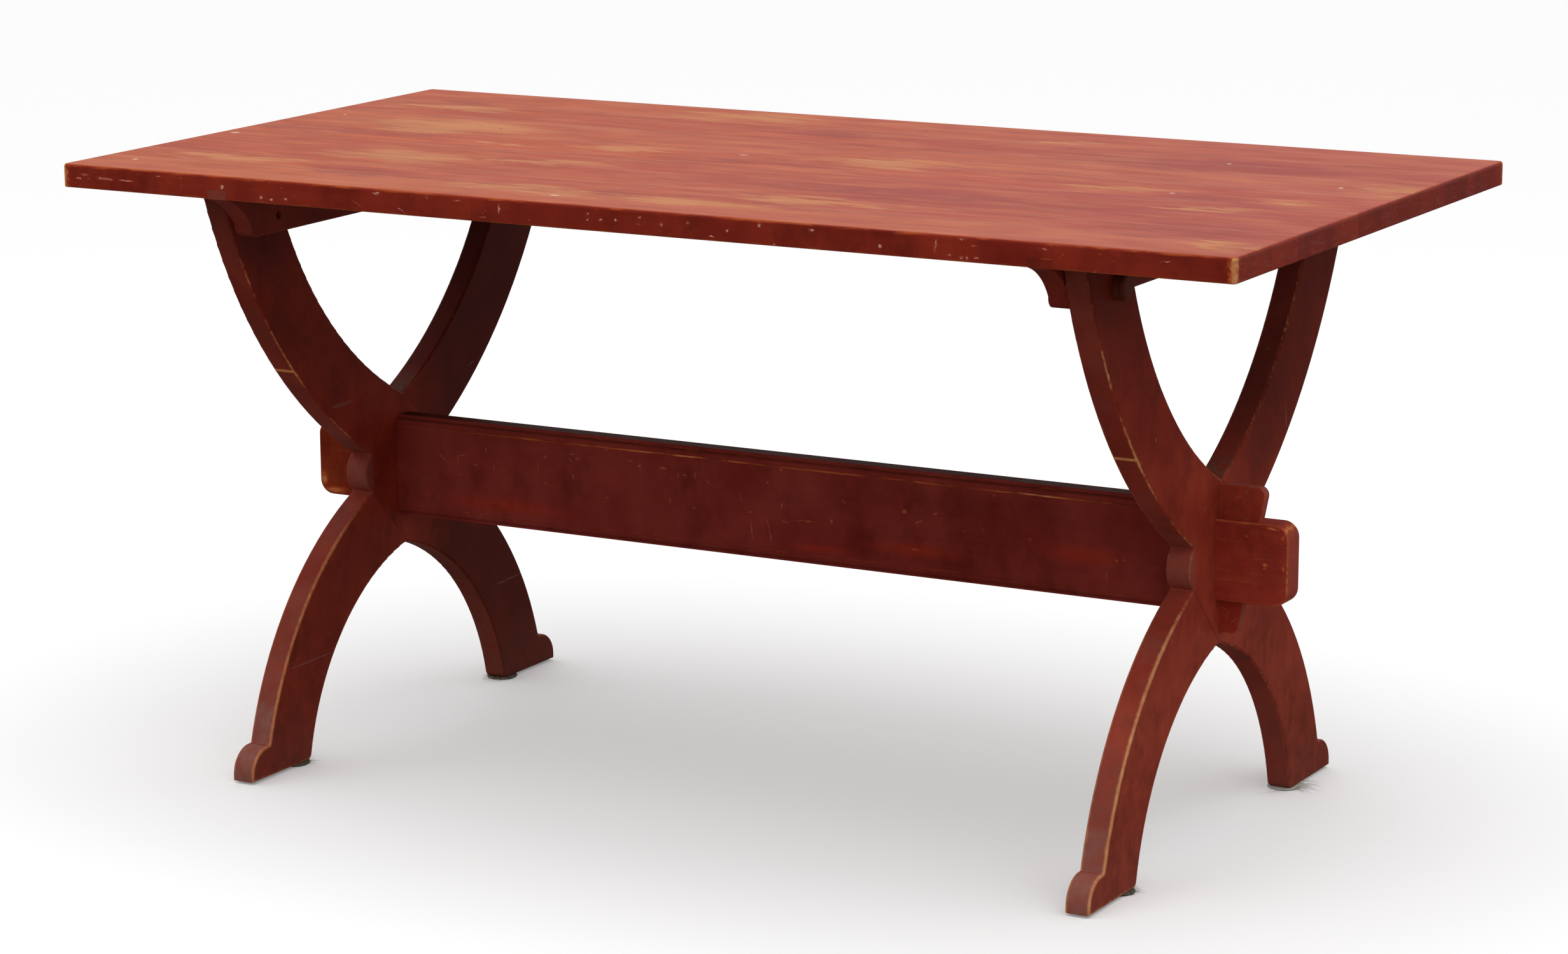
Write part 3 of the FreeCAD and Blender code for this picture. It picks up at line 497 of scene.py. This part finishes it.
    # Mud and polish have stained the wide faces brown towards the floor.
    mud = cloud(tree, at, (18, 18, 22), 0.3, 0.7, seed=number + 0.9, detail=6)
    mud = all_of(tree, add(tree, "MapRange", mud, 0.0, 1.0, 0.35, 1.0),
                 add(tree, "MapRange", z, 0.3, 0.06, 0.0, 0.6),
                 add(tree, "MapRange", narrow, 0.0, 1.0, 1.0, 0.25))
    deep, bright = (
        layered(tree, coat[tone], (painted_light_low, coat["rubbed_" + tone]), (painted_shade, PAINTED_SHADE_DARK), (mud, MUD_BROWN))
        for tone in ("deep", "bright")
    )
    colour, roughness, height = red_coat(tree, at, turn, bare, dust_and_sheen, number, deep, bright)
    off_fork = add(tree, "Math", add(tree, "Math", z, FORK, operation="SUBTRACT"), operation="ABSOLUTE")
    in_crotch = all_of(tree, near(tree, off_fork, 0.026), add(tree, "MapRange", looks_z, 0.1, 0.8),
                       patchy, 0.75)
    hairline = all_of(tree, hairline, add(tree, "MapRange", sideways, 0.9, 0.99, 0.0, coat["joint"]))
    colour = layered(tree, colour, (in_crotch, GREY_DUST), (hairline, JOINT_LINE))
    height = add(tree, "Math", height, all_of(tree, hairline, 3.0), operation="SUBTRACT")
    close(tree, colour, roughness, height, 0.15 * MM, coat["shine"])
    give(material, name)

# THE STRETCHER. One pine rail with moulded edges, and a tenon at each end that runs through the trestle. Feet
# have scratched its front, and the upper arris of the front face is rubbed to the wood.
STRETCHER_FRONT = -17  # y of the front face in mm
TRESTLE_OUTSIDE = 0.565  # how far from the middle the tenons leave the trestles
FACE_ARRISES = (384, 0.95), (392, 0.2), (281, 0.15)  # height in mm and wear: the face's own, and the steps'
RAIL_TONES, RAIL_REDDER_TONES = ("#79241f", "#9d3f36"), ("#992b1f", "#b23d2b")  # each deep, then bright
LEFT_TENON_TONES, RIGHT_TENON_TONES = ("#862919", "#b24c2c"), ("#9d3027", "#b94536")
FLAME, GRIMY_BROWN, SCRATCHED = "#c9633a", "#33120f", "#cc674c"
STRETCHER_NICKS = [  # on the front face: x, z and half length, half height in mm, and the turn in degrees
    (-448, 347, 1.2, 10, 0), (-442, 354, 7, 1.0, -6), (-474, 351, 1.4, 5, -30), (-470, 348, 1.4, 5, -30),
    (-407, 364, 1.0, 6, 0), (-321, 364, 3, 3, 0), (-283, 371, 5, 1.6, 0), (-286, 364, 6, 1.4, 40),
    (-275, 366, 5, 1.3, 0), (-332, 351, 1.0, 9, 0), (-423, 344, 4, 1.2, 0), (-396, 342, 1.0, 7, 0),
    (-445, 330, 3, 1.2, 0), (-200, 371, 9, 1.6, 0), (-187, 366, 4, 2, 40), (-154, 366.6, 7, 2.6, 0),
    (-133, 360, 1.4, 5, 0), (-124, 361, 4, 1.4, 0), (-110, 362, 1.2, 6, 0), (-92, 356, 6, 1.2, 30),
    (-10, 363.5, 2.4, 2.4, 0), (-321, 331, 5, 1.4, 30), (-281, 343, 1.2, 5, 0), (-234, 322, 3, 2, 0),
    (-144, 327, 1.2, 6, -20), (-111, 322, 4, 1.4, 20), (-47, 341, 1.0, 8, 0), (9, 337, 1.0, 7, 0),
    (-34, 325, 2.4, 1.6, 0), (-32, 303, 1.2, 18, -8), (-8, 305, 1.0, 22, -14), (13, 318, 9, 1.3, 0),
    (38, 321.6, 22, 1.1, -3), (45, 321.7, 3, 2.4, 0), (8, 381, 3, 1.6, 30), (92, 351, 5, 1.2, 40),
    (76, 325, 2.4, 4, 0), (173, 347, 4, 4, -40), (213, 348, 6, 1.2, -20), (192, 337, 8, 1.2, -20),
    (250, 332, 3, 1.6, 0), (275, 336, 1.2, 4, 0), (188, 303, 8, 1.6, 0), (201, 312, 1.6, 3, 0),
    (336, 331, 2, 2, 0), (434, 297, 1.0, 9, 0), (446, 318, 5, 1.4, 30), (455, 319, 2, 2, 0),
    (-437, 282, 4, 1.2, 0), (290, 378, 2, 1.6, 0), (-234, 381, 2.4, 2.4, 0),
]
TENON_NICKS = [  # the same on the tenons' fronts
    (-645, 374, 22, 7, 0), (-632, 292, 26, 6, 0), (-650, 305, 8, 14, 0), (628.5, 333.5, 5, 3, 0),
    (628, 329, 3, 2.4, 0), (606, 363.7, 2.2, 2.2, 0), (603, 378, 12, 2, 0), (637, 375, 11, 2.4, 6),
    (650, 366, 3, 4, 0), (650.5, 331, 2, 7, 0), (655, 307, 2.4, 9, 0), (651, 290, 8, 3, -40),
]
REDDER = [(-380, 297, 120, 15), (185, 302, 95, 12), (405, 320, 75, 18), (60, 290, 60, 8)]  # without a turn
material, tree, at = start("dark_red_oil_paint_on_moulded_stretcher")
x, _, z = add(tree, "SeparateXYZ", at).node.outputs
looks_x, _, looks_z = facing(tree)
outside = add(tree, "Math", add(tree, "Math", x, operation="ABSOLUTE"), TRESTLE_OUTSIDE,
              operation="GREATER_THAN")
rail_part = add(tree, "Math", 1.0, outside, operation="SUBTRACT")
patchy = cloud(tree, at, (30, 5, 5), 0.3, 0.7, seed=20, detail=5)
worn_stretch = add(tree, "MapRange", cloud(tree, at, (130, 40, 40), 0.35, 0.6, seed=21), 0.0, 1.0, 0.3, 1.0)
reach = all_of(tree, add(tree, "MapRange", patchy, 0.0, 1.0, 0.6, 1.3), 1.4 * MM)
bare = 0.0
for level, worn in FACE_ARRISES:
    away = add(tree, "Math", add(tree, "Math", z, level * MM, operation="SUBTRACT"), operation="ABSOLUTE")
    bare = any_of(tree, bare, all_of(tree, near(tree, away, reach), worn_stretch, worn))
bare = all_of(tree, bare, rail_part, add(tree, "MapRange", patchy, 0.1, 0.6, 0.15, 0.9),
              add(tree, "MapRange", x, -0.46, -0.3, 0.25, 1.0))
kicked = shaken(tree, at, 4, 1.4)
nicks = marks(tree, kicked, on_front(STRETCHER_NICKS, STRETCHER_FRONT, 4))
nicks = add(tree, "MapRange", nicks, 0.15, 0.6, 0.0, 0.9)
small = any_of(tree, flecks(tree, kicked, (26, 26, 9), 0.07, (0, 0.4, 0), seed=21),
               flecks(tree, kicked, (8, 26, 24), 0.07, (0, -0.3, 0), seed=22))
broken = cloud(tree, at, (2.5, 2.5, 2.5), 0.34, 0.62, seed=24, detail=3)
nicks = all_of(tree, any_of(tree, nicks, all_of(tree, small, 0.5)), add(tree, "Mix", patchy, 0.5, 1.0),
               add(tree, "Mix", broken, 0.3, 1.0))
# The tenons are rubbed most: their arrises to the wood, their faces in flames along the grain.
corner = any_of(tree, *(all_of(tree, arris(tree, axis, 4 * MM), outside) for axis in ((0, 1, 0), (1, 0, 0))))
corner = add(tree, "Math", corner, all_of(tree, patchy, 0.45), operation="SUBTRACT")
corner = add(tree, "MapRange", corner, 0.25, 0.8, 0.0, 0.6)
rubs = marks(tree, shaken(tree, at, 6, 1.6), on_front(TENON_NICKS, STRETCHER_FRONT, 4))
rubs = all_of(tree, add(tree, "MapRange", rubs, 0.1, 0.7, 0.0, 0.6), add(tree, "Mix", patchy, 0.3, 1.0),
              outside)
bare = any_of(tree, bare, all_of(tree, nicks, 0.25), corner, rubs)
red = add(tree, "MapRange", marks(tree, at, on_front(REDDER, STRETCHER_FRONT, 40)), 0.0, 0.9, 0.0, 0.75,
          interpolation_type="SMOOTHSTEP")
on_left = add(tree, "MapRange", x, -0.56, -TRESTLE_OUTSIDE)
tenon_tones = [add(tree, "Mix", on_left, right_tenon, left_tenon, data_type="RGBA")
               for left_tenon, right_tenon in zip(LEFT_TENON_TONES, RIGHT_TENON_TONES)]
deep, bright = (layered(tree, rail, (red, redder), (outside, tenon))
                for rail, redder, tenon in zip(RAIL_TONES, RAIL_REDDER_TONES, tenon_tones))
flames = all_of(tree, cloud(tree, at, (60, 6, 5), 0.45, 0.7, seed=23, detail=4), outside, 0.5)
bright = add(tree, "Mix", flames, bright, FLAME, data_type="RGBA")
# Nothing rubs the rail's upper face, and old grime has darkened it.
up = add(tree, "MapRange", looks_z, 0.5, 0.9)
grimy = all_of(tree, up, rail_part, 0.8)
deep, bright = (add(tree, "Mix", grimy, paint, GRIMY_BROWN, data_type="RGBA") for paint in (deep, bright))
tenon_end = all_of(tree, add(tree, "MapRange", add(tree, "Math", looks_x, operation="ABSOLUTE"), 0.6, 0.9),
                   outside, 0.36)
dust_and_sheen = any_of(tree, all_of(tree, up, 0.07), tenon_end)
colour, roughness, height = red_coat(tree, at, (0, np.pi / 2, 0), bare, dust_and_sheen, 20, deep, bright)
colour = add(tree, "Mix", all_of(tree, nicks, 0.75), colour, SCRATCHED, data_type="RGBA")
close(tree, colour, roughness, height, 0.15 * MM, 0.01)
give(material, "stretcher")

# THE TUSK KEYS. A tapered pine key drops through a slot in each tenon, and wedges the trestle against the
# stretcher's shoulders. The hammer and the thumb have worn its arrises.
KEY_FRONT = -6.5  # y of the front face in mm
KEY_RUBS = [  # on the front face: x, z and half length, half height in mm, and the turn in degrees
    (600, 412, 2, 7, 20), (592, 405, 6, 2, 0), (600, 381, 7, 2.4, 0), (580, 268, 1, 9, 24),
    (576, 274, 7, 1, 30), (588, 262, 9, 1.2, -40),
]
KEY_DEEP, KEY_BRIGHT = "#a03023", "#c64c36"
material, tree, at = start("red_oil_paint_on_tusk_keys")
patchy = cloud(tree, at, (6, 6, 14), 0.3, 0.7, seed=30, detail=5)
corner = add(tree, "Math", arris(tree, (0, 1, 0), 3 * MM), all_of(tree, patchy, 0.6), operation="SUBTRACT")
rubs = marks(tree, shaken(tree, at, 5, 1.5), on_front(KEY_RUBS, KEY_FRONT, 4))
bare = any_of(tree, add(tree, "MapRange", corner, 0.3, 0.75, 0.0, 0.4),
              add(tree, "MapRange", rubs, 0.1, 0.7, 0.0, 0.1))
# The front face stays clean. Dust has settled on the edges, which look up and out.
clean = add(tree, "Math", facing(tree)[1], operation="ABSOLUTE")
dust_and_sheen = any_of(tree, add(tree, "MapRange", clean, 0.85, 0.3, 0.04, 0.55),
               add(tree, "MapRange", rubs, 0.1, 0.6, 0.0, 0.5))
colour, roughness, height = red_coat(tree, at, (0, 0, 0), bare, dust_and_sheen, 30, KEY_DEEP, KEY_BRIGHT)
close(tree, colour, roughness, height, 0.12 * MM)
give(material, "left_tusk_key", "right_tusk_key")

# THE PEGS. A turned peg with a round head holds each leg to its batten. It is birch, under the same red paint,
# which is painted near black here: painted shade, for the shade that falls on it under the top.
PEG_SHADED_DEEP, PEG_SHADED_BRIGHT = "#3f110c", "#571a12"
material, tree, at = start("red_oil_paint_on_turned_pegs")
turned = all_of(tree, cloud(tree, at, (2.5, 60, 60), 0.3, 0.7, seed=31), 0.06)
colour, roughness, height = red_coat(tree, at, (0, np.pi / 2, 0), turned, 0.1, 31, PEG_SHADED_DEEP, PEG_SHADED_BRIGHT)
close(tree, colour, roughness, height, 0.1 * MM)
give(material, *(name for name in nodes if name.endswith("_peg")))

# THE FELT PADS. A round of pressed grey wool felt is glued under each foot. Its rim is soft and squashed out,
# and lint and hairs from the floor have caught in it.
FELT_RADIUS, RIM_RINGS, PAD_POINTS = 20 * MM, 9, 96
CLEAN_WOOL, SOILED_WOOL = ("#c8c4bb", "#efece4"), ("#4a443e", "#7d766d")  # the hollows, then the tips
HAIR, LINT, STRAW_BIT, WHITE_LINT = "#4e4840", "#cfc8b8", "#a8824e", "#ece8df"
HAIR_POINTS, HAIR_SIDES, HAIR_RADIUS, ABOVE_FLOOR = 8, 3, 0.24 * MM, 0.05 * MM


def felt_round(name, centre, height):
    """A squashed round: each ring's radius is the pad's, less a soft wave round the rim, times a half circle's
    cosine up the side; the rings start and end at one point on the axis, below and above."""
    around = np.linspace(0, 2 * np.pi, PAD_POINTS, endpoint=False)
    up = np.linspace(-np.pi / 2, np.pi / 2, RIM_RINGS)
    wave = 1 - 0.018 * (1 + np.sin(5 * around + centre.x * 9)) - 0.012 * np.cos(11 * around + centre.y * 7)
    rim = (FELT_RADIUS - height / 2) * wave[None, :] + height / 2 * np.cos(up)[:, None]
    share = np.array([0.3, 0.62, 0.85])[:, None]
    radius = np.vstack([share * rim[0], rim, share[::-1] * rim[-1]])
    level = np.concatenate([np.full(3, 0.0), height / 2 * (1 + np.sin(up)), np.full(3, height)])
    ring = np.stack([centre.x + radius * np.cos(around), centre.y + radius * np.sin(around),
                     np.broadcast_to(level[:, None], radius.shape)], axis=-1).reshape(-1, 3)
    points = np.vstack([ring, [[centre.x, centre.y, 0.0], [centre.x, centre.y, height]]])
    step = np.arange(PAD_POINTS)
    after = (step + 1) % PAD_POINTS
    base = PAD_POINTS * np.arange(len(level) - 1)[:, None]
    quads = np.stack([base + step, base + after, base + PAD_POINTS + after, base + PAD_POINTS + step], axis=-1)
    last = PAD_POINTS * (len(level) - 1)
    bottom = np.stack([np.full(PAD_POINTS, len(ring)), after, step], axis=-1)
    top = np.stack([np.full(PAD_POINTS, len(ring) + 1), last + step, last + after], axis=-1)
    mesh = bpy.data.meshes.new(name)
    mesh.from_pydata(points.tolist(), [], quads.reshape(-1, 4).tolist() + bottom.tolist() + top.tolist())
    mesh.shade_smooth()
    return mesh


def caught_lint(name, centre, count, longest, towards):
    """A tuft of fine hairs: each is a three-sided tube on a parabola, from a point on the pad's rim out over
    the floor, and its radius falls from root to tip."""
    chance = np.random.default_rng(int(abs(centre.x + 2 * centre.y) * 1e4))
    root_angle = towards + chance.normal(0, 0.7, count)
    heading = root_angle + chance.normal(0, 0.6, count)
    length = longest * (0.25 + 0.75 * chance.random(count) ** 2)
    curl = length * chance.normal(0, 0.45, count)
    lift, root_height = 3 * MM * chance.random(count), (0.5 + 3 * chance.random(count)) * MM
    share = np.linspace(0, 1, HAIR_POINTS)[:, None]
    ahead = np.stack([np.cos(heading), np.sin(heading), 0 * heading], axis=-1)
    aside = np.stack([-np.sin(heading), np.cos(heading), 0 * heading], axis=-1)
    upward = np.array([0, 0, 1.0])
    out = 0.92 * FELT_RADIUS
    root = np.stack([centre.x + out * np.cos(root_angle), centre.y + out * np.sin(root_angle), root_height],
                    axis=-1)
    line = root + (share * length)[..., None] * ahead + (share**2 * curl)[..., None] * aside
    line[..., 2] = root_height * (1 - share) + 4 * lift * share * (1 - share) + 0.4 * MM * share
    radius = HAIR_RADIUS * (1 - 0.8 * share) * np.ones(count)
    around = 2 * np.pi * np.arange(HAIR_SIDES) / HAIR_SIDES
    spoke = np.cos(around)[:, None, None] * aside + np.sin(around)[:, None, None] * upward
    points = line[:, None] + radius[:, None, :, None] * spoke[None]
    points[..., 2] = np.maximum(points[..., 2], ABOVE_FLOOR)
    index = np.arange(HAIR_POINTS * HAIR_SIDES * count).reshape(HAIR_POINTS, HAIR_SIDES, count)
    turned = np.roll(index, -1, axis=1)
    walls = np.stack([index[:-1], turned[:-1], turned[1:], index[1:]], axis=-1).reshape(-1, 4)
    caps = np.concatenate([index[0].T[:, ::-1], index[-1].T])
    mesh = bpy.data.meshes.new(name)
    mesh.from_pydata(points.reshape(-1, 3).tolist(), [], walls.tolist() + caps.tolist())
    return mesh


def towards_back_right(tree, at, start, end, high=1.0):
    """0 at start and high at end, by how far a point is to the back right: its x and y added up, in metres."""
    x, y, _ = add(tree, "SeparateXYZ", at).node.outputs
    return add(tree, "MapRange", add(tree, "Math", x, y, operation="ADD"), start, end, 0.0, high)


# Fluffy pressed wool, which gives the eye soft mottled grey. Only the back right pad has stayed clean.
material, tree, at = start("pressed_grey_wool_felt")
fluff = cloud(tree, at, (1.2, 1.2, 0.7), 0.3, 0.7, seed=32, detail=6)
soil = all_of(tree, cloud(tree, at, (9, 9, 3), 0.4, 0.65, seed=33, detail=3), 0.25)
clean, soiled = (add(tree, "Mix", fluff, hollows, tips, data_type="RGBA")
                 for hollows, tips in (CLEAN_WOOL, SOILED_WOOL))
soil = any_of(tree, towards_back_right(tree, at, 0.7, 0.5), soil)
colour = add(tree, "Mix", soil, clean, soiled, data_type="RGBA")
close(tree, colour, 0.95, fluff, 0.3 * MM)
# Loose wool, hair and straw from the floor, which give the eye pale and dark threads.
lint_material, tree, at = start("floor_lint_and_hair")
strand = cloud(tree, at, (5, 5, 5), 0.35, 0.6, seed=34)
strawy = cloud(tree, at, (7, 7, 7), 0.55, 0.65, seed=35)
colour = layered(tree, HAIR, (strand, LINT), (strawy, STRAW_BIT),
                 (towards_back_right(tree, at, 0.5, 0.7, 0.8), WHITE_LINT))
close(tree, colour, 0.8, strand, 0.02 * MM)
TUFTS = {  # how many hairs, the longest in mm, and which way they point in degrees from +X
    "left_front": (34, 16, -10), "left_back": (60, 15, -75),
    "right_front": (26, 12, 20), "right_back": (70, 34, 45),
}
for place, (count, longest, towards) in TUFTS.items():
    node = place + "_felt_pad"
    low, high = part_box(node)
    centre = (low + high) / 2
    pad = bpy.data.objects.new(place + "_felt_round", felt_round(node, centre, high.z))
    pad.data.materials.append(material)
    lint_name = place + "_lint"
    tuft = caught_lint(lint_name, centre, count, longest * MM, np.radians(towards))
    lint = bpy.data.objects.new(lint_name, tuft)
    lint.data.materials.append(lint_material)
    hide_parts(node)
    for piece in (pad, lint):
        bpy.context.scene.collection.objects.link(piece)
        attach(piece, "table")

# THE STUDIO. A plain white floor that keeps the shadow, an even white sky, and one large soft lamp overhead.
# The floor looks white, and lights the table from below as grey boards would.
FLOOR_HALF, FLOOR_WHITE, FLOOR_GREY, FLOOR_GLOW = 30, "#fbfbfb", "#8f8c88", 0.18
SKY_AT_HORIZON, SKY_OVERHEAD, WHITE = 0.35, 1.05, "#ffffff"
floor_mesh = bpy.data.meshes.new("studio_floor")
corners = [(FLOOR_HALF * i, FLOOR_HALF * j, 0) for i, j in ((-1, -1), (1, -1), (1, 1), (-1, 1))]
floor_mesh.from_pydata(corners, [], [(0, 1, 2, 3)])
floor = bpy.data.objects.new("studio_floor", floor_mesh)
bpy.context.scene.collection.objects.link(floor)
material = bpy.data.materials.new("matt_white_studio_floor")
material.use_nodes = True
tree = material.node_tree
tree.nodes.clear()
seen = add(tree, "LightPath").node.outputs["Is Camera Ray"]
colour = add(tree, "Mix", seen, FLOOR_GREY, FLOOR_WHITE, data_type="RGBA")
glow = add(tree, "Emission", WHITE, all_of(tree, seen, FLOOR_GLOW))
shader = add(tree, "AddShader", add(tree, "BsdfDiffuse", colour, 0.0), glow)
tree.links.new(shader, tree.nodes.new("ShaderNodeOutputMaterial").inputs["Surface"])
floor.data.materials.append(material)

world = bpy.data.worlds.new("white_studio")
bpy.context.scene.world = world
world.use_nodes = True
tree = world.node_tree
tree.nodes.clear()
path = add(tree, "LightPath").node.outputs
direct = any_of(tree, *(path[f"Is {kind} Ray"] for kind in ("Camera", "Glossy", "Transmission")))
height = add(tree, "SeparateXYZ", add(tree, "TexCoord").node.outputs["Generated"]).node.outputs[2]
strength = add(tree, "Mix", direct, add(tree, "MapRange", height, 0.0, 1.0, SKY_AT_HORIZON, SKY_OVERHEAD), 1.0)
light = add(tree, "Background", WHITE, strength)
tree.links.new(light, tree.nodes.new("ShaderNodeOutputWorld").inputs["Surface"])

lamp = bpy.data.lights.new("soft_overhead_lamp", "AREA")
lamp.shape, lamp.size, lamp.size_y, lamp.energy = "RECTANGLE", 3.6, 3.0, 28
lamp_object = bpy.data.objects.new("soft_overhead_lamp", lamp)
lamp_object.location = (0.3, -0.6, 3.4)
bpy.context.scene.collection.objects.link(lamp_object)

# THE CAMERA stands to the right of the front, a little above the top, with a long lens.
LOOKING_DOWN, ROLL, TOWARDS_LEFT = 12.949, 0.297, 29.087  # degrees
camera_data = bpy.data.cameras.new("studio_camera")
camera_data.sensor_width, camera_data.lens = 36.0, 101.76
camera_data.shift_x, camera_data.shift_y = 0.0047, 0.0397
camera = bpy.data.objects.new("studio_camera", camera_data)
camera.location = (2.50618, -4.50614, 1.47743)
camera.rotation_euler = np.radians([90 - LOOKING_DOWN, ROLL, TOWARDS_LEFT]).tolist()
bpy.context.scene.collection.objects.link(camera)
bpy.context.scene.camera = camera
bpy.context.scene.view_settings.view_transform = "Standard"
